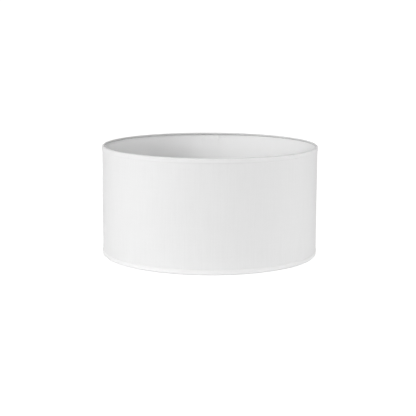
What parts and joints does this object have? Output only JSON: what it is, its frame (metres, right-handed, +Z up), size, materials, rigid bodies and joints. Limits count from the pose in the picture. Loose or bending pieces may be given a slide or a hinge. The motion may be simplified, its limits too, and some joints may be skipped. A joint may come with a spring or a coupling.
{
  "type": "lamp shade",
  "caption": "Plain drum lamp shade: lined woven fabric on wire rings with folded fabric trims and a recessed collar at the bottom for a screw-ring lamp holder.",
  "frame": {"origin": "centre of the plane that the shade stands on, on the drum's axis", "axes": "+Z up along the drum's axis, from the bottom trim to the top trim; -Y is the front, and the panel's lap is at the back, 3 degrees from +Y towards +X"},
  "size_m": [0.4, 0.4007, 0.204],
  "materials": {
    "cover_fabric": "plain weave, matt white, bonded flat",
    "trim_fabric": "plain weave, matt white, folded strip",
    "liner_film": "satin white PVC film",
    "tape_film": "adhesive film",
    "white_wire": "white powder coat"
  },
  "bodies": {
    "root": {"fabric_cover": "cover_fabric", "stiff_liner": "liner_film", "seam_tape": "tape_film", "top_trim": "trim_fabric", "bottom_trim": "trim_fabric", "top_ring": "white_wire", "bottom_ring": "white_wire", "fitter_arm_1": "white_wire", "fitter_arm_2": "white_wire", "fitter_arm_3": "white_wire", "fitter_collar": "white_wire"}
  },
  "joints": []
}
